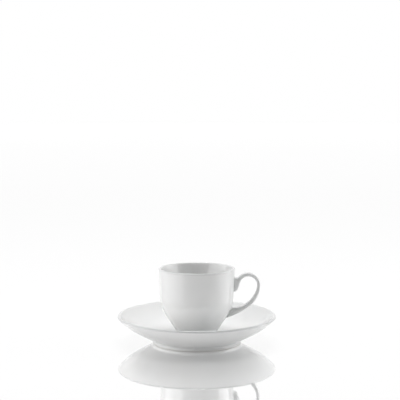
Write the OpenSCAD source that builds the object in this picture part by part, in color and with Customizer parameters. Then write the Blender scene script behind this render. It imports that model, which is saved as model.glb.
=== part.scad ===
// Espresso cup and saucer in white glazed porcelain. The cup stands loose in the saucer's well.
// Millimetres, +Z up. The origin is on the saucer's axis, on the surface that the saucer stands on.
// The handle points along +X.

/* [Saucer] */
// Diameter over the rim
saucer_d = 120; // [110:1:140]
// Height of the rim above the table
saucer_h = 21; // [18:0.5:26]
// Thickness of the rounded rim
rim_t = 2.2; // [1.6:0.1:3]
// Outer diameter of the foot ring
saucer_foot_d = 67.6; // [60:0.2:76]
// Height of the foot ring's upright outer face
saucer_foot_h = 1.5; // [1:0.1:2.4]
// Radius of the fillet between the foot ring and the wing
saucer_fillet = 1.8; // [0.9:0.1:2.4]
// Width of the foot ring
saucer_foot_w = 3.4; // [2.6:0.1:5]
// Depth of the recess inside the foot ring
saucer_recess = 2; // [1.6:0.1:2.6]
// Slope of the wing's underside beside the foot ring, in degrees
wing_foot_slope = 28; // [22:1:32]
// Slope of the wing at the rim, in degrees
wing_rim_slope = 46; // [36:1:52]
// Thickness of the saucer's floor under the cup
well_t = 3.6; // [2.8:0.1:5]
// Height of the step round the well
well_step = 1.2; // [0.8:0.1:1.8]

/* [Cup] */
// Outer diameter at the lip
cup_d = 58; // [54:0.5:64]
// Height from the foot to the lip
cup_h = 51; // [48:0.5:62]
// Thickness of the rounded lip
lip_t = 1.9; // [1.4:0.1:2.6]
// Lean of the wall's inside below the lip, from the vertical, in degrees
lip_flare = 13; // [8:1:14]
// How far the wall draws in from the lip to the shoulder, on the radius
wall_draw = 1.1; // [0:0.1:2.5]
// Height of the shoulder, where the wall turns into the bowl
shoulder_h = 28; // [25:0.5:32]
// Thickness of the wall at the shoulder
wall_t = 4.1; // [3.2:0.1:4.6]
// Lean of the bowl's side above the foot, from the vertical, in degrees
bowl_lean = 33; // [28:1:38]
// Thickness of the cup's floor
floor_t = 3; // [2.4:0.1:5]
// Diameter of the flat middle of the floor, inside
floor_flat_d = 14.8; // [10:0.2:18]
// Outer diameter of the foot ring
cup_foot_d = 29.4; // [26:0.2:33]
// Height of the foot ring's upright outer face
cup_foot_h = 1.6; // [1.2:0.1:2.5]
// Width of the foot ring
cup_foot_w = 2.6; // [2:0.1:4]
// Depth of the recess inside the foot ring
cup_recess = 1.6; // [1.6:0.1:2.4]
// Play of the foot in the saucer's well, on the radius
well_play = 0.8; // [0.4:0.1:2]

/* [Handle] */
// Distance from the wall to the handle's outermost point
handle_reach = 19.8; // [17:0.2:25]
// Outer radius of the upper loop
loop_r = 9.5; // [8.4:0.1:11]
// Outer radius of the long curve below the loop
lower_r = 20.2; // [17:0.2:22]
// Turn of the long curve before it runs out to the lower root, in degrees
lower_turn = 47; // [42:1:56]
// Drop from the lip to the centre of the loop
loop_drop = 13; // [12:0.2:15]
// Thickness of the strap where the loop starts
strap_top_t = 3.3; // [2.6:0.1:3.8]
// Thickness of the strap at the handle's outermost point
strap_t = 2.55; // [2:0.05:3.2]
// Thickness of the strap at the end of the long curve
strap_low_t = 3.5; // [2.6:0.1:4.2]
// Width of the strap on the loop
strap_w = 5.6; // [4:0.1:8]
// Width of the roots where they meet the wall
root_w = 7.4; // [6:0.1:10]
// Drop from the lip to the top of the upper root
root_drop = 7; // [6:0.1:8.5]
// Height of the upper root along the wall
upper_root_h = 11.1; // [9:0.1:12]
// Drop from the lip to the top of the lower root
lower_root_drop = 30.4; // [29:0.2:33]
// Height of the lower root along the wall
lower_root_h = 7.8; // [6:0.1:8.4]
// Slope of the strap's underside at the lower root, in degrees
tail_slope = 15; // [10:1:28]
// Thickness of the slip that fixes the roots to the wall
slip_t = 0.05; // [0.02:0.01:0.1]

/* [Hidden] */
$fn = 128;
porcelain = "white";

// Plane curves as lists of points
function bezier(p, t) =
    pow(1 - t, 3)*p[0] + 3*t*pow(1 - t, 2)*p[1] + 3*t*t*(1 - t)*p[2] + pow(t, 3)*p[3];
function curve(p, steps) = [for (i = [0:steps]) bezier(p, i/steps)];
function heading(a) = [cos(a), sin(a)];
function arc(c, r, from, to, steps) = [for (i = [0:steps]) c + r*heading(from + (to - from)*i/steps)];
function smooth(s) = s*s*(3 - 2*s);
// An arc set inside radius r by a depth that eases from the first to the second value
function inset_arc(c, r, first, second, from, to, steps) = [
    for (i = [0:steps])
        c + (r - first - (second - first)*smooth(i/steps))*heading(from + (to - from)*i/steps)
];
function rest(points) = [for (i = [1:len(points) - 1]) points[i]];
function round_edge(c, r, from, to) = concat(
    arc(c, r, from, 0, edge_steps),
    rest(arc(c, r, 0, 90, edge_steps)),
    rest(arc(c, r, 90, to, edge_steps))
);

curve_steps = 18;
wall_steps = 8;
edge_steps = 5;
edge_r = 0.6;
root_fillet = 0.9;

// Half section of a foot ring: recess, rounded edges, outer face of height h and the fillet above it,
// which turns the outline from upright into a side that leans out by turn degrees
function foot_ring(r, w, h, recess, turn, fillet) = concat(
    [[0, recess]],
    arc([r - w - root_fillet, recess - root_fillet], root_fillet, 90, 0, edge_steps),
    arc([r - w + edge_r, edge_r], edge_r, 180, 270, edge_steps),
    arc([r - edge_r, edge_r], edge_r, -90, 0, edge_steps),
    arc([r + fillet, h], fillet, 180, 180 - turn, edge_steps)
);
function last(points) = points[len(points) - 1];

// The saucer's heights and radii
well_z = saucer_recess + well_t;
well_r = cup_foot_d/2 + well_play;
rim_r = rim_t/2;
rim_c = [saucer_d/2 - rim_r, saucer_h - rim_r];
wing_ease = 0.4;
well_slope = 3;
well_edge_r = well_step/2;

// Underside of the wing, from the foot ring to the rim
saucer_foot = foot_ring(
    saucer_foot_d/2, saucer_foot_w, saucer_foot_h, saucer_recess, 90 - wing_foot_slope, saucer_fillet
);
wing_under_start = last(saucer_foot);
wing_under_end = rim_c + rim_r*heading(wing_rim_slope - 90);
wing_under_pull = norm(wing_under_end - wing_under_start)/3;
wing_under = [
    wing_under_start,
    wing_under_start + wing_under_pull*heading(wing_foot_slope),
    wing_under_end - wing_under_pull*heading(wing_rim_slope),
    wing_under_end
];

// Top of the wing, from the rim down to the step round the well
wing_top_start = rim_c + rim_r*heading(wing_rim_slope + 90);
wing_top_end = [well_r + 2*well_edge_r, well_z + well_step];
wing_top_pull = wing_ease*norm(wing_top_start - wing_top_end);
wing_top = [
    wing_top_start,
    wing_top_start - wing_top_pull*heading(wing_rim_slope),
    wing_top_end + wing_top_pull*heading(well_slope),
    wing_top_end
];

// The cup's heights and radii, seated in the well
lip_z = well_z + cup_h;
lip_r = lip_t/2;
lip_c = [cup_d/2 - lip_r, lip_z - lip_r];
shoulder_z = well_z + shoulder_h;
floor_z = well_z + cup_recess + floor_t;
bowl_low_ease = 0.45;
bowl_high_ease = 0.3;
flare_ease = 0.55;
wall_ease = 0.25;
inner_high_ease = 0.3;
inner_low_ease = 0.24;

// Outside of the bowl, from the foot ring to the shoulder, and the wall above it
cup_ring = foot_ring(cup_foot_d/2, cup_foot_w, cup_foot_h, cup_recess, bowl_lean, root_fillet);
cup_foot = [for (p = cup_ring) p + [0, well_z]];
bowl_start = last(cup_foot);
shoulder = [cup_d/2 - wall_draw, shoulder_z];
wall_top = [cup_d/2, lip_c[1]];
wall_lean = (wall_top - shoulder)/norm(wall_top - shoulder);
bowl_chord = norm(shoulder - bowl_start);
bowl = [
    bowl_start,
    bowl_start + bowl_low_ease*bowl_chord*heading(90 - bowl_lean),
    shoulder - bowl_high_ease*bowl_chord*wall_lean,
    shoulder
];
outside = concat(curve(bowl, curve_steps), [wall_top]);

// Inside of the cup, from the lip down the flared wall to the shoulder, and on to its floor
inner_lip = lip_c + lip_r*heading(180 - lip_flare);
inner_shoulder = shoulder - [wall_t, 0];
flare_chord = norm(inner_lip - inner_shoulder);
inner_wall = [
    inner_lip,
    inner_lip + flare_ease*flare_chord*heading(270 - lip_flare),
    inner_shoulder + wall_ease*flare_chord*wall_lean,
    inner_shoulder
];
inner_floor = [floor_flat_d/2, floor_z];
inner_chord = norm(inner_shoulder - inner_floor);
inside = [
    inner_shoulder,
    inner_shoulder - inner_high_ease*inner_chord*wall_lean,
    inner_floor + [inner_low_ease*inner_chord, 0],
    inner_floor
];

// Radius of the cup's outside at height z
outside_table = [for (p = outside) [p[1], p[0]]];
function outside_r(z) = lookup(z, outside_table);

// Centres of the handle's curves, in the plane of the handle
loop_z = lip_z - loop_drop;
handle_tip = outside_r(loop_z) + handle_reach;
loop_c = [handle_tip - loop_r, loop_z];
lower_c = [handle_tip - lower_r, loop_z];
inner_loop_r = loop_r - strap_top_t;
inner_lower_r = lower_r - strap_low_t;

// Points on the wall where the roots begin and end
function on_wall(z) = [outside_r(z), z];
upper_root_top = on_wall(lip_z - root_drop);
upper_root_end = on_wall(lip_z - root_drop - upper_root_h);
lower_root_top = on_wall(lip_z - lower_root_drop);
lower_root_end = on_wall(lip_z - lower_root_drop - lower_root_h);

// Angles at which the two edges of the strap come onto the loop
outer_loop_start = 138;
inner_loop_start = 159;

// The curves that blend each edge of the strap into its root
function leave(c, r, a, pull) = c + r*heading(a) - pull*heading(a - 90);
function carry(c, r, a, pull) = c + r*heading(a) + pull*heading(a - 90);
notch_pull = 0.7;
tail_pull = 3.7;
tail_end_pull = 3.6;
runout_pull = 6.2;
outer_upper = [
    upper_root_top,
    upper_root_top + notch_pull*[1, -1],
    leave(loop_c, loop_r, outer_loop_start, notch_pull),
    loop_c + loop_r*heading(outer_loop_start)
];
inner_upper = [
    upper_root_end,
    upper_root_end + [tail_end_pull, 0],
    leave(loop_c, inner_loop_r, inner_loop_start, tail_pull),
    loop_c + inner_loop_r*heading(inner_loop_start)
];
outer_lower = [
    lower_c + lower_r*heading(-lower_turn),
    carry(lower_c, lower_r, -lower_turn, runout_pull),
    lower_root_end + runout_pull*heading(tail_slope),
    lower_root_end
];
inner_lower = [
    lower_c + inner_lower_r*heading(-lower_turn),
    carry(lower_c, inner_lower_r, -lower_turn, runout_pull),
    lower_root_top + [runout_pull, 0],
    lower_root_top
];

// The strap's two edges, station by station from the upper root to the lower root
root_steps = 10;
loop_steps = 22;
lower_steps = 8;
outer_edge = concat(
    curve(outer_upper, root_steps),
    rest(arc(loop_c, loop_r, outer_loop_start, 0, loop_steps)),
    rest(arc(lower_c, lower_r, 0, -lower_turn, lower_steps)),
    rest(curve(outer_lower, root_steps))
);
inner_edge = concat(
    curve(inner_upper, root_steps),
    rest(inset_arc(loop_c, loop_r, strap_top_t, strap_t, inner_loop_start, 0, loop_steps)),
    rest(inset_arc(lower_c, lower_r, strap_t, strap_low_t, 0, -lower_turn, lower_steps)),
    rest(curve(inner_lower, root_steps))
);

// The strap's section: an ellipse a little squared, spanned by its two edges and its width
strap_sides = 24;
squareness = 3;
last_station = len(outer_edge) - 1;
function squared(v) = sign(v)*pow(abs(v), 2/squareness);
function half_width(i) =
    let (from_root = min(i, last_station - i)/root_steps, grow = 1 - smooth(min(1, from_root)))
    (strap_w + (root_w - strap_w)*grow)/2;
function section(i) =
    let (mid = (outer_edge[i] + inner_edge[i])/2, half = (outer_edge[i] - inner_edge[i])/2)
    [for (k = [0:strap_sides - 1])
        let (a = 360*k/strap_sides, p = mid + squared(cos(a))*half)
        [p[0], half_width(i)*squared(sin(a)), p[1]]];

// Root faces follow the round wall: rings of the end section, drawn in by share and laid on it
function seated(p) = [sqrt(pow(outside_r(p[2]), 2) - p[1]*p[1]) + slip_t, p[1], p[2]];
function middle(i) = let (m = (outer_edge[i] + inner_edge[i])/2) [m[0], 0, m[1]];
function root_ring(i, share) = [for (p = section(i)) seated(middle(i) + share*(p - middle(i)))];
root_shares = [0.25, 0.5, 0.75, 1];

// Skin of triangles over a list of equal rings, closed at both ends by a centre point
module skin(rings, first, last) {
    sides = len(rings[0]);
    count = len(rings)*sides;
    points = concat([for (r = rings) each r], [first, last]);
    walls = [for (j = [0:len(rings) - 2], k = [0:sides - 1])
        let (a = j*sides + k, b = j*sides + (k + 1)%sides)
        each [[a, a + sides, b], [b, a + sides, b + sides]]];
    near = [for (k = [0:sides - 1]) [count, k, (k + 1)%sides]];
    far = [for (k = [0:sides - 1]) [count + 1, count - sides + (k + 1)%sides, count - sides + k]];
    polyhedron(points, concat(walls, near, far));
}

module saucer() {
    profile = concat(
        saucer_foot,
        rest(curve(wing_under, curve_steps)),
        rest(round_edge(rim_c, rim_r, wing_rim_slope - 90, wing_rim_slope + 90)),
        rest(curve(wing_top, curve_steps)),
        rest(arc([wing_top_end[0], well_z + well_edge_r], well_edge_r, 90, 180, edge_steps)),
        rest(arc([well_r, well_z + well_edge_r], well_edge_r, 0, -90, edge_steps)),
        [[0, well_z]]
    );
    color(porcelain) rotate_extrude() polygon(profile);
}

module cup_body() {
    profile = concat(
        cup_foot,
        rest(outside),
        rest(arc(lip_c, lip_r, 0, 90, edge_steps)),
        rest(arc(lip_c, lip_r, 90, 180 - lip_flare, edge_steps)),
        rest(curve(inner_wall, wall_steps)),
        rest(curve(inside, curve_steps)),
        [[0, floor_z]]
    );
    color(porcelain) rotate_extrude() polygon(profile);
}

module cup_handle() {
    upper_seat = [for (s = root_shares) root_ring(0, s)];
    lower_seat = [for (s = root_shares) root_ring(last_station, s)];
    strap = [for (i = [1:last_station - 1]) section(i)];
    lower_rings = [for (j = [len(lower_seat) - 1:-1:0]) lower_seat[j]];
    color(porcelain)
        skin(concat(upper_seat, strap, lower_rings), seated(middle(0)), seated(middle(last_station)));
}

saucer();
cup_body();
cup_handle();
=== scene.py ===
import math

import bmesh
import bpy
from mathutils import Matrix, Vector
from mathutils.bvhtree import BVHTree
from mathutils.geometry import interpolate_bezier

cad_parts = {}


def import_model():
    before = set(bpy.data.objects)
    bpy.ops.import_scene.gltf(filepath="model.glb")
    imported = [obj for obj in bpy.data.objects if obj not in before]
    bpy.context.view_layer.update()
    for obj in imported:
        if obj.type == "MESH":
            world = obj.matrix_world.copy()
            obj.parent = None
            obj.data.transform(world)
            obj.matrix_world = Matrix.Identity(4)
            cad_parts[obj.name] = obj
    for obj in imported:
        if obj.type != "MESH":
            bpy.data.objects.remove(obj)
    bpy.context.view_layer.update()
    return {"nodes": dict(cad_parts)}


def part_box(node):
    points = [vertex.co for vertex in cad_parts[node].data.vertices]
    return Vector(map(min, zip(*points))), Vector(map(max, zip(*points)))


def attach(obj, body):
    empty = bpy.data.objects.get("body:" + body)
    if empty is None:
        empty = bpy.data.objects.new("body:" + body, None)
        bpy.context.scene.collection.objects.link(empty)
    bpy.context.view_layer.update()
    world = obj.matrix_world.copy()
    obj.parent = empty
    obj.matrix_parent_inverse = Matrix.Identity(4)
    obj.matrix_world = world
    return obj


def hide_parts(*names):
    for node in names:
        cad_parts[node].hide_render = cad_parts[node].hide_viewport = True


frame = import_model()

mm = 0.001  # outlines are drawn in millimetres, meshes are in metres
scene = bpy.context.scene
scene.view_settings.view_transform = "Standard"
print("frame loaded with", ", ".join(sorted(frame["nodes"])))


# plane curves: points are (distance from the axis, height)

def heading(angle):
    return Vector((math.cos(math.radians(angle)), math.sin(math.radians(angle))))


def arcPoints(centre, radius, start, end, steps):
    return [Vector(centre) + radius * heading(start + (end - start) * i / steps) for i in range(steps + 1)]


def ease(share):
    return share * share * (3 - 2 * share)


def insetArc(centre, radius, first, second, start, end, steps):  # inside an arc, by an eased depth
    points = []
    for i in range(steps + 1):
        share = i / steps
        depth = first + (second - first) * ease(share)
        points.append(Vector(centre) + (radius - depth) * heading(start + (end - start) * share))
    return points


def curvePoints(start, startPull, endPull, end, steps):
    return interpolate_bezier(start, startPull, endPull, end, steps + 1)


def boxTop(node):
    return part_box(node)[1] / mm


def boxFoot(node):
    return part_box(node)[0].z / mm


# half section of a foot ring, from the axis to the fillet above it; the glaze ends short of the ground

clay = {
    "edgeRadius": 0.6, "innerFillet": 0.9, "edgeSteps": 8,
    "glazeThickness": 0.12, "bareHeight": 1.0, "glazeSteps": 3,
}


def footRing(radius, width, height, recess, turn, fillet):
    steps, edge, innerFillet = clay["edgeSteps"], clay["edgeRadius"], clay["innerFillet"]
    skin, bare, skinSteps = clay["glazeThickness"], clay["bareHeight"], clay["glazeSteps"]
    inner, outer = radius - width + skin, radius - skin  # the bare clay's two faces
    ring = [Vector((0, recess))]
    ring += arcPoints((inner - skin - innerFillet, recess - innerFillet), innerFillet, 90, 0, steps)
    ring += arcPoints((inner, bare), skin, 180, 270, skinSteps)  # the glaze's rolled edge inside the ring
    ring += arcPoints((inner + edge, edge), edge, 180, 270, steps)
    ring += arcPoints((outer - edge, edge), edge, -90, 0, steps)
    ring += arcPoints((outer, bare), skin, -90, 0, skinSteps)  # and outside
    ring += arcPoints((radius + fillet, height), fillet, 180, 180 - turn, steps)
    return ring


lathe = {"finestStep": 0.004, "weldReach": 0.001}  # mm


def turned(outline, steps):  # spins a half section that starts and ends on the axis
    bm = bmesh.new()
    tip = bm.verts.new((outline[0].x * mm, 0, outline[0].y * mm))
    for point in outline[1:]:
        if (point - Vector((tip.co.x, tip.co.z)) / mm).length > lathe["finestStep"]:
            tip = bmesh.ops.extrude_vert_indiv(bm, verts=[tip])["verts"][0]
            tip.co = (point.x * mm, 0, point.y * mm)
    bmesh.ops.spin(bm, geom=bm.verts[:] + bm.edges[:], axis=(0, 0, 1), cent=(0, 0, 0),
                   angle=math.tau, steps=steps, use_merge=True)
    bmesh.ops.remove_doubles(bm, verts=bm.verts[:], dist=lathe["weldReach"] * mm)
    bmesh.ops.recalc_face_normals(bm, faces=bm.faces[:])
    return bm


def placePiece(name, bm, body, node, material):
    for face in bm.faces:
        face.smooth = True
    mesh = bpy.data.meshes.new(name)
    bm.to_mesh(mesh)
    mesh.materials.append(material)
    piece = bpy.data.objects.new(name, mesh)
    scene.collection.objects.link(piece)
    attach(piece, body)
    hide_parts(node)
    print(name, "has", len(bm.faces), "faces")


# shader maths: a wrapped socket, on which + - * / add Math nodes

class Value:
    def __init__(self, tree, socket=None):
        self.tree = tree
        self.socket = socket

    def node(self, kind, settings=None, inputs=None, output=0):
        made = self.tree.nodes.new(kind)
        for key, setting in (settings or {}).items():
            setattr(made, key, setting)
        for key, given in (inputs or {}).items():
            if isinstance(given, Value):
                self.tree.links.new(given.socket, made.inputs[key])
            else:
                made.inputs[key].default_value = given
        return Value(self.tree, made.outputs[output] if made.outputs else None)

    def math(self, operation, first, second=0.0, clamp=False):
        settings = {"operation": operation, "use_clamp": clamp}
        return self.node("ShaderNodeMath", settings, {0: first, 1: second})

    def __add__(self, other):
        return self.math("ADD", self, other)

    def __radd__(self, other):
        return self.math("ADD", other, self)

    def __sub__(self, other):
        return self.math("SUBTRACT", self, other)

    def __rsub__(self, other):
        return self.math("SUBTRACT", other, self)

    def __mul__(self, other):
        return self.math("MULTIPLY", self, other)

    def __rmul__(self, other):
        return self.math("MULTIPLY", other, self)

    def __truediv__(self, other):
        return self.math("DIVIDE", self, other)

    def __abs__(self):
        return self.math("ABSOLUTE", self)

    def step(self, low, high):  # 0 below low, 1 above high, eased between
        return self.node("ShaderNodeMapRange", {"interpolation_type": "SMOOTHSTEP"},
                         {"Value": self, "From Min": low, "From Max": high})

    def span(self, low, high, first, second):  # first at low, second at high, straight between
        return self.node("ShaderNodeMapRange", {}, {"Value": self, "From Min": low, "From Max": high,
                                                    "To Min": first, "To Max": second})

    def mix(self, first, second):  # this value picks between two colours
        return self.node("ShaderNodeMix", {"data_type": "RGBA"}, {0: self, 6: first, 7: second}, 2)


fullWhite = (1, 1, 1, 1)


def seen(graph):  # 1 for the camera and for what shows in reflections, 0 for light that falls on the object
    straight = graph.node("ShaderNodeLightPath", output="Is Camera Ray")
    glossy = graph.node("ShaderNodeLightPath", output="Is Glossy Ray")
    through = graph.node("ShaderNodeLightPath", output="Is Transmission Ray")
    return graph.math("ADD", straight + glossy, through, clamp=True)


def newMaterial(name):
    material = bpy.data.materials.new(name)
    material.use_nodes = True
    material.node_tree.nodes.clear()
    return material, Value(material.node_tree)


def finishMaterial(graph, shader):
    graph.node("ShaderNodeOutputMaterial", {}, {"Surface": shader})


# white porcelain under a clear glaze, bare clay where the foot stands

glaze = {
    "white": (0.90, 0.90, 0.895, 1),
    "pooled": (0.87, 0.88, 0.88, 1),  # where the glaze lies thick
    "paintedShade": (0.74, 0.745, 0.745, 1),  # and painted shade, in creases and on the rims' outer edges
    "bareClay": (0.86, 0.855, 0.84, 1),
    "toneScale": 22, "toneDetail": 3.0, "pooledFrom": 0.35, "pooledTo": 0.75,  # patches, per metre
    "peelScale": 420, "peelDetail": 1.0, "peelDepth": 0.012 * mm,  # orange peel
    "grainScale": 5200, "grainDetail": 2.0, "grainDepth": 0.03 * mm,  # clay grain
    "roughness": 0.07, "roughnessSpread": 0.04, "bareRoughness": 0.72, "ior": 1.5,
    "edgeBlend": 0.1,  # mm from the glaze's edge to full glaze or to bare clay
    "shadeInward": 0.3, "shadeOutward": 0.5, "shadeDown": 0.8,  # mm from the middle of a rolled rim, for the band of painted shade
}


def porcelain(name, footZ, bareHeight, paintedShadeAt):  # the painted-shade mask (radius, level) goes from 0, white, to 1, grey for painted shade
    material, graph = newMaterial(name)
    place = graph.node("ShaderNodeTexCoord", output="Object")
    level = graph.node("ShaderNodeSeparateXYZ", {}, {0: place}, "Z") / mm
    flat = graph.node("ShaderNodeVectorMath", {"operation": "MULTIPLY"}, {0: place, 1: (1, 1, 0)})
    radius = graph.node("ShaderNodeVectorMath", {"operation": "LENGTH"}, {0: flat}, "Value") / mm
    height = level - footZ

    def noise(scale, detail):
        return graph.node("ShaderNodeTexNoise", {}, {"Vector": place, "Scale": scale, "Detail": detail})

    tone = noise(glaze["toneScale"], glaze["toneDetail"])
    peel = noise(glaze["peelScale"], glaze["peelDetail"])
    grain = noise(glaze["grainScale"], glaze["grainDetail"])
    glazed = height.step(bareHeight - glaze["edgeBlend"], bareHeight + glaze["edgeBlend"])
    pooling = tone.step(glaze["pooledFrom"], glaze["pooledTo"])
    # painted shade: grey is mixed into the glaze colour where the shade mask rises
    skin = paintedShadeAt(radius, level).mix(pooling.mix(glaze["white"], glaze["pooled"]), glaze["paintedShade"])
    colour = glazed.mix(glaze["bareClay"], skin)
    glossy = glaze["roughness"] + glaze["roughnessSpread"] * (tone - 0.5)  # noise lies round a half
    roughness = glaze["bareRoughness"] + (glossy - glaze["bareRoughness"]) * glazed
    relief = peel * glazed * glaze["peelDepth"] + grain * (1 - glazed) * glaze["grainDepth"]
    bump = graph.node("ShaderNodeBump", {}, {"Height": relief, "Strength": 1.0, "Distance": 1.0})
    shader = graph.node("ShaderNodeBsdfPrincipled", {},
                        {"Base Color": colour, "Roughness": roughness, "Normal": bump, "IOR": glaze["ior"]})
    finishMaterial(graph, shader)
    return material


def paintedRimShade(node, thickness, radius, level):  # 1 on a rolled rim's outer top edge, where a band of shade is painted
    rim = boxTop(node).yz - Vector((thickness / 2, thickness / 2))
    outside = radius.step(rim.x - glaze["shadeInward"], rim.x + glaze["shadeOutward"])
    return outside * level.step(rim.y - glaze["shadeDown"], rim.y)


# saucer

saucer = {
    "rimThickness": 2.2,
    "footDiameter": 67.6, "footHeight": 1.5, "footFillet": 1.8, "footWidth": 3.4, "recess": 2.0,
    "wingFootSlope": 28, "wingRimSlope": 46, "wingEase": 0.4, "underEase": 1 / 3,
    "wellDiameter": 31.0, "wellStep": 1.2, "wellSlope": 3,
    "cornerShade": 0.3, "cornerCore": 0.2, "cornerReach": 1.4,  # painted shade in the corner of the well
    "curveSteps": 40, "rimSteps": 20, "wellSteps": 8, "turnSteps": 192,
}


def saucerOutline(size):
    top = boxTop("saucer")
    wellZ = boxFoot("cup_body")
    rimRadius = size["rimThickness"] / 2
    rim = Vector((top.y - rimRadius, top.z - rimRadius))
    slope, steps = size["wingRimSlope"], size["curveSteps"]
    foot = footRing(size["footDiameter"] / 2, size["footWidth"], size["footHeight"], size["recess"],
                    90 - size["wingFootSlope"], size["footFillet"])
    underEnd = rim + rimRadius * heading(slope - 90)
    underPull = size["underEase"] * (underEnd - foot[-1]).length
    under = curvePoints(foot[-1], foot[-1] + underPull * heading(size["wingFootSlope"]),
                        underEnd - underPull * heading(slope), underEnd, steps)
    wellRadius, wellEdge = size["wellDiameter"] / 2, size["wellStep"] / 2
    topStart = rim + rimRadius * heading(slope + 90)
    topEnd = Vector((wellRadius + 2 * wellEdge, wellZ + size["wellStep"]))
    topPull = size["wingEase"] * (topStart - topEnd).length
    wing = curvePoints(topStart, topStart - topPull * heading(slope),
                       topEnd + topPull * heading(size["wellSlope"]), topEnd, steps)
    edge = arcPoints(rim, rimRadius, slope - 90, slope + 90, size["rimSteps"])
    stepTop = arcPoints((topEnd.x, wellZ + wellEdge), wellEdge, 90, 180, size["wellSteps"])
    stepFoot = arcPoints((wellRadius, wellZ + wellEdge), wellEdge, 0, -90, size["wellSteps"])
    return foot + under + edge + wing + stepTop + stepFoot + [Vector((0, wellZ))]


def saucerPaintedShade(radius, level):  # painted shade in the corner round the well, and on the rim
    corner = saucer["wellDiameter"] / 2 + saucer["wellStep"] / 2
    away = abs(radius - corner).step(saucer["cornerCore"], saucer["cornerReach"])
    return saucer["cornerShade"] * (1 - away) + paintedRimShade("saucer", saucer["rimThickness"], radius, level)


saucerMesh = turned(saucerOutline(saucer), saucer["turnSteps"])
placePiece("saucer_dish", saucerMesh, "saucer", "saucer",
           porcelain("saucerGlaze", 0.0, clay["bareHeight"], saucerPaintedShade))


# cup

cup = {
    "lipThickness": 1.9, "lipFlare": 13, "flareEase": 0.55, "wallEase": 0.25,
    "wallDraw": 1.1, "shoulderHeight": 28, "wallThickness": 4.1, "bowlLean": 33,
    "floorThickness": 3.0, "floorFlat": 14.8,
    "footDiameter": 29.4, "footHeight": 1.6, "footFillet": 0.9, "footWidth": 2.6, "recess": 1.6,
    "bowlLowEase": 0.45, "bowlHighEase": 0.3, "innerHighEase": 0.3, "innerLowEase": 0.24,
    "filletShade": 0.3, "filletCore": 0.1, "filletReach": 1.0, "lipShade": 0.5,  # painted shade
    "curveSteps": 44, "wallSteps": 10, "lipSteps": 20, "flareSteps": 20, "turnSteps": 160,
}


def cupOutline(size):
    top = boxTop("cup_body")
    foot = boxFoot("cup_body")
    steps = size["curveSteps"]
    lipRadius = size["lipThickness"] / 2
    lip = Vector((top.y - lipRadius, top.z - lipRadius))
    ring = footRing(size["footDiameter"] / 2, size["footWidth"], size["footHeight"], size["recess"],
                    size["bowlLean"], size["footFillet"])
    ring = [point + Vector((0, foot)) for point in ring]
    shoulder = Vector((top.y - size["wallDraw"], foot + size["shoulderHeight"]))
    wallTop = Vector((top.y, lip.y))
    wallLean = (wallTop - shoulder).normalized()
    chord = (shoulder - ring[-1]).length
    bowl = curvePoints(ring[-1], ring[-1] + size["bowlLowEase"] * chord * heading(90 - size["bowlLean"]),
                       shoulder - size["bowlHighEase"] * chord * wallLean, shoulder, steps)
    wall = [shoulder.lerp(wallTop, i / size["wallSteps"]) for i in range(1, size["wallSteps"])]
    edge = arcPoints(lip, lipRadius, 0, 180 - size["lipFlare"], size["lipSteps"])
    innerShoulder = shoulder - Vector((size["wallThickness"], 0))
    innerFloor = Vector((size["floorFlat"] / 2, foot + size["recess"] + size["floorThickness"]))
    innerChord = (innerShoulder - innerFloor).length
    flareChord = (edge[-1] - innerShoulder).length
    flarePull = size["flareEase"] * flareChord * heading(270 - size["lipFlare"])
    wallPull = size["wallEase"] * flareChord * wallLean
    innerWall = curvePoints(edge[-1], edge[-1] + flarePull,
                            innerShoulder + wallPull, innerShoulder, size["flareSteps"])
    inside = curvePoints(innerShoulder, innerShoulder - size["innerHighEase"] * innerChord * wallLean,
                         innerFloor + Vector((size["innerLowEase"] * innerChord, 0)), innerFloor, steps)
    return ring + bowl + wall + edge + innerWall + inside + [Vector((0, innerFloor.y))]


cupMesh = turned(cupOutline(cup), cup["turnSteps"])
cupWall = BVHTree.FromBMesh(cupMesh)


def cupPaintedShade(radius, level):  # painted shade in the fillet above the foot ring, and on the lip
    fillet = boxFoot("cup_body") + cup["footHeight"] + cup["footFillet"] / 2
    away = abs(level - fillet).step(cup["filletCore"], cup["filletReach"])
    atLip = cup["lipShade"] * paintedRimShade("cup_body", cup["lipThickness"], radius, level)
    return cup["filletShade"] * (1 - away) + atLip


placePiece("cup_bowl", cupMesh, "cup", "cup_body",
           porcelain("cupGlaze", boxFoot("cup_body"), clay["bareHeight"], cupPaintedShade))


# handle: rings between the strap's two edges, from the upper root round the loop to the lower root

handle = {
    "loopRadius": 9.5, "lowerRadius": 20.2, "lowerTurn": 47, "loopDrop": 13.0,
    "topThickness": 3.3, "sideThickness": 2.55, "lowThickness": 3.5, "strapWidth": 5.6, "rootWidth": 7.4,
    "rootDrop": 7.0, "upperRootHeight": 11.1, "lowerRootDrop": 30.4, "lowerRootHeight": 7.8,
    "tailSlope": 15, "outerLoopStart": 138, "innerLoopStart": 159,
    "notchPull": 0.7, "tailPull": 3.7, "tailEndPull": 3.6, "runoutPull": 6.2,
    "squareness": 3.0, "sides": 40, "rootSteps": 20, "loopSteps": 44, "lowerSteps": 16,
    "seatDepth": 0.3,  # how far the roots run into the wall
    "upperShadeReach": 5.0, "lowerShadeReach": 12.0,  # how far painted shade reaches from the wall
    "sightFrom": 200.0,  # where the wall is looked at from, well outside the cup
}


def onWall(y, z):  # the cup's outside seen along the handle
    hit = cupWall.ray_cast(Vector((handle["sightFrom"], y, z)) * mm, Vector((-1, 0, 0)))[0]
    return hit.x / mm


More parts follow.
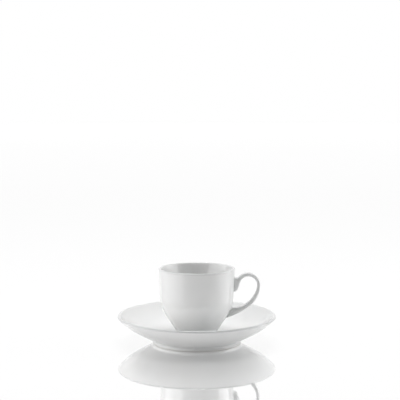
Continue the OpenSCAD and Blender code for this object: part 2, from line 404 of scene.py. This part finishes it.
def strapEdges(size):
    lipZ = boxTop("cup_body").z
    tip = boxTop("cup_handle").x
    loopZ = lipZ - size["loopDrop"]
    loop = Vector((tip - size["loopRadius"], loopZ))
    lower = Vector((tip - size["lowerRadius"], loopZ))
    top, side, low = size["topThickness"], size["sideThickness"], size["lowThickness"]
    innerLoopRadius = size["loopRadius"] - top
    innerLowerRadius = size["lowerRadius"] - low
    rootZ = lipZ - size["rootDrop"]
    lowerRootZ = lipZ - size["lowerRootDrop"]
    upperTop, upperEnd, lowerTop, lowerEnd = [
        Vector((onWall(0, z), z))
        for z in (rootZ, rootZ - size["upperRootHeight"], lowerRootZ, lowerRootZ - size["lowerRootHeight"])]
    turn, pull = size["lowerTurn"], size["runoutPull"]

    def before(centre, radius, angle, reach):
        return centre + radius * heading(angle) - reach * heading(angle - 90)

    def after(centre, radius, angle, reach):
        return centre + radius * heading(angle) + reach * heading(angle - 90)

    outerStart, innerStart = size["outerLoopStart"], size["innerLoopStart"]
    outer = curvePoints(upperTop, upperTop + size["notchPull"] * Vector((1, -1)),
                        before(loop, size["loopRadius"], outerStart, size["notchPull"]),
                        loop + size["loopRadius"] * heading(outerStart), size["rootSteps"])
    inner = curvePoints(upperEnd, upperEnd + Vector((size["tailEndPull"], 0)),
                        before(loop, innerLoopRadius, innerStart, size["tailPull"]),
                        loop + innerLoopRadius * heading(innerStart), size["rootSteps"])
    outer += arcPoints(loop, size["loopRadius"], outerStart, 0, size["loopSteps"])[1:]
    inner += insetArc(loop, size["loopRadius"], top, side, innerStart, 0, size["loopSteps"])[1:]
    outer += arcPoints(lower, size["lowerRadius"], 0, -turn, size["lowerSteps"])[1:]
    inner += insetArc(lower, size["lowerRadius"], side, low, 0, -turn, size["lowerSteps"])[1:]
    outer += curvePoints(outer[-1], after(lower, size["lowerRadius"], -turn, pull),
                         lowerEnd + pull * heading(size["tailSlope"]), lowerEnd, size["rootSteps"])[1:]
    inner += curvePoints(inner[-1], after(lower, innerLowerRadius, -turn, pull),
                         lowerTop + Vector((pull, 0)), lowerTop, size["rootSteps"])[1:]
    return outer, inner


def strapRing(bm, outer, inner, halfWidth, squareness):
    ring = bmesh.ops.create_circle(bm, segments=handle["sides"], radius=1)["verts"]
    for vert in ring:  # an ellipse a little squared
        vert.co = [math.copysign(abs(c) ** (2 / squareness), c) for c in vert.co]
    middle, half = (outer + inner) / 2, (outer - inner) / 2
    place = Matrix(((half.x, 0, 0, middle.x), (0, halfWidth, 0, 0), (half.y, 0, 1, middle.y), (0, 0, 0, 1)))
    bmesh.ops.transform(bm, matrix=Matrix.Scale(mm, 4) @ place, verts=ring)
    return ring


def ringEdges(ring):
    inRing = set(ring)
    return list({edge for vert in ring for edge in vert.link_edges if edge.other_vert(vert) in inRing})


def seatRing(ring, depth):  # lays a root's ring in the round wall
    for vert in ring:
        vert.co.x = (onWall(vert.co.y / mm, vert.co.z / mm) - depth) * mm


def buildHandle(size):
    bm = bmesh.new()
    outer, inner = strapEdges(size)
    count = len(outer)
    rings = []
    for i in range(count):
        fromRoot = min(1, min(i, count - 1 - i) / size["rootSteps"])
        width = size["rootWidth"] + (size["strapWidth"] - size["rootWidth"]) * ease(fromRoot)
        rings.append(strapRing(bm, outer[i], inner[i], width / 2, size["squareness"]))
    for end in (rings[0], rings[-1]):
        seatRing(end, size["seatDepth"])
    for near, far in zip(rings, rings[1:]):
        bmesh.ops.bridge_loops(bm, edges=ringEdges(near) + ringEdges(far))
    bmesh.ops.holes_fill(bm, edges=ringEdges(rings[0]) + ringEdges(rings[-1]), sides=size["sides"])
    bmesh.ops.recalc_face_normals(bm, faces=bm.faces[:])
    return bm


def handlePaintedShade(radius, level):  # painted shade where the roots meet the wall
    lipZ = boxTop("cup_body").z
    upperTop, lowerTop = lipZ - handle["rootDrop"], lipZ - handle["lowerRootDrop"]
    upperEnd, lowerEnd = upperTop - handle["upperRootHeight"], lowerTop - handle["lowerRootHeight"]

    def wallAt(low, high):
        return level.span(low, high, onWall(0, low), onWall(0, high))

    onUpper = level.step(lowerTop, upperEnd)
    wall = wallAt(lowerEnd, lowerTop) + onUpper * (wallAt(upperEnd, upperTop) - wallAt(lowerEnd, lowerTop))
    reach = handle["lowerShadeReach"] + onUpper * (handle["upperShadeReach"] - handle["lowerShadeReach"])
    return 1 - ((radius - wall) / reach).step(0, 1)


placePiece("cup_ear", buildHandle(handle), "cup", "cup_handle",
           porcelain("handleGlaze", 0.0, 0.0, handlePaintedShade))  # no bare clay


# floor: polished white sheet, a mirror at a low angle

floor = {
    "radius": 40.0, "segments": 96, "white": (0.90, 0.90, 0.90, 1),
    "polish": 0.03, "mirrorBlend": 0.6, "secondLook": 0.4,
    "lift": 0.2,  # brings the matt white up to the white of the backdrop
}


def makeFloor():
    bm = bmesh.new()
    bmesh.ops.create_circle(bm, cap_ends=True, segments=floor["segments"], radius=floor["radius"])
    mesh = bpy.data.meshes.new("floor")
    bm.to_mesh(mesh)
    sheet = bpy.data.objects.new("floor", mesh)
    scene.collection.objects.link(sheet)
    material, graph = newMaterial("floorPolish")
    matt = graph.node("ShaderNodeBsdfDiffuse", {}, {"Color": floor["white"]})
    mirror = graph.node("ShaderNodeBsdfGlossy", {}, {"Color": fullWhite, "Roughness": floor["polish"]})
    facing = graph.node("ShaderNodeLayerWeight", {}, {"Blend": floor["mirrorBlend"]}, "Facing")
    eye = graph.node("ShaderNodeLightPath", output="Is Camera Ray")
    glow = floor["lift"] * seen(graph)
    lift = graph.node("ShaderNodeEmission", {}, {"Color": fullWhite, "Strength": glow})
    sheetWhite = graph.node("ShaderNodeAddShader", {}, {0: matt, 1: lift})
    look = eye + floor["secondLook"] * (1 - eye)  # only the eye sees the whole mirror
    polished = graph.node("ShaderNodeMixShader", {}, {0: facing * look, 1: sheetWhite, 2: mirror})
    finishMaterial(graph, polished)
    mesh.materials.append(material)


makeFloor()
print("floor laid")


# light: white surround for the eye and for reflections, softboxes at both sides and above

studio = {
    "ambient": 0.07,
    "frontShade": 0.75, "shadeFrom": -0.35, "shadeTo": -0.75,  # the dark room behind the camera, by Y
    "backdrop": 0.6, "backFrom": 0.0, "backTo": 0.4,  # white paper behind the object, by Y
    "backLow": 0.25, "backHigh": 0.55,  # which is lit from above, by Z
    "aim": (0, 0, 0.03),
    "wattsPerArea": 4,  # an area lamp's power for each square metre and unit of radiance
}
softboxes = {
    "left": {"place": (-0.88, -0.19, 0.22), "width": 1.3, "height": 0.44, "radiance": 2.05},
    "right": {"place": (0.905, 0.058, 0.22), "width": 0.8, "height": 0.44, "radiance": 2.65},
    "top": {"place": (0, 0.22, 1.0), "width": 0.8, "height": 0.4, "radiance": 4.6},
}


def makeWorld():
    world = bpy.data.worlds.new("studio")
    world.use_nodes = True
    world.node_tree.nodes.clear()
    graph = Value(world.node_tree)
    direction = graph.node("ShaderNodeTexCoord", output="Generated")
    depth = graph.node("ShaderNodeSeparateXYZ", {}, {0: direction}, "Y")
    rise = graph.node("ShaderNodeSeparateXYZ", {}, {0: direction}, "Z")
    shade = studio["frontShade"] * (1 - depth.step(studio["shadeTo"], studio["shadeFrom"]))
    behind = depth.step(studio["backFrom"], studio["backTo"])
    above = rise.step(studio["backLow"], studio["backHigh"])
    onObject = studio["ambient"] * (1 - shade) + studio["backdrop"] * behind * above
    strength = onObject + (1 - onObject) * seen(graph)
    sky = graph.node("ShaderNodeBackground", {}, {"Color": fullWhite, "Strength": strength})
    graph.node("ShaderNodeOutputWorld", {}, {"Surface": sky})
    scene.world = world


def placeSoftbox(name, box):
    lamp = bpy.data.lights.new(name, "AREA")
    lamp.shape = "RECTANGLE"
    lamp.size, lamp.size_y = box["width"], box["height"]
    lamp.energy = studio["wattsPerArea"] * box["width"] * box["height"] * box["radiance"]
    thing = bpy.data.objects.new(name, lamp)
    thing.location = box["place"]
    towards = Vector(studio["aim"]) - Vector(box["place"])
    thing.rotation_euler = towards.to_track_quat("-Z", "Y").to_euler()
    scene.collection.objects.link(thing)


makeWorld()
for name, box in softboxes.items():
    placeSoftbox(name, box)


# camera, at the height and distance fitted to both rims

view = {"distance": 0.750, "aimHeight": 0.025, "elevation": 11.2, "tilt": -4.85, "yaw": -0.187,
        "lens": 88.2, "sensor": 36.0}


def makeCamera():
    camera = bpy.data.cameras.new("photoView")
    camera.sensor_width = view["sensor"]
    camera.lens = view["lens"]
    thing = bpy.data.objects.new("photoView", camera)
    up = math.radians(view["elevation"])
    back = view["distance"] * math.cos(up)
    rise = view["distance"] * math.sin(up)
    thing.location = (0, -back, view["aimHeight"] + rise)
    level = math.radians(90)  # an unturned camera looks straight down
    thing.rotation_euler = (level + math.radians(view["tilt"]), 0, math.radians(view["yaw"]))
    scene.collection.objects.link(thing)
    scene.camera = thing


makeCamera()
print("light and camera set")
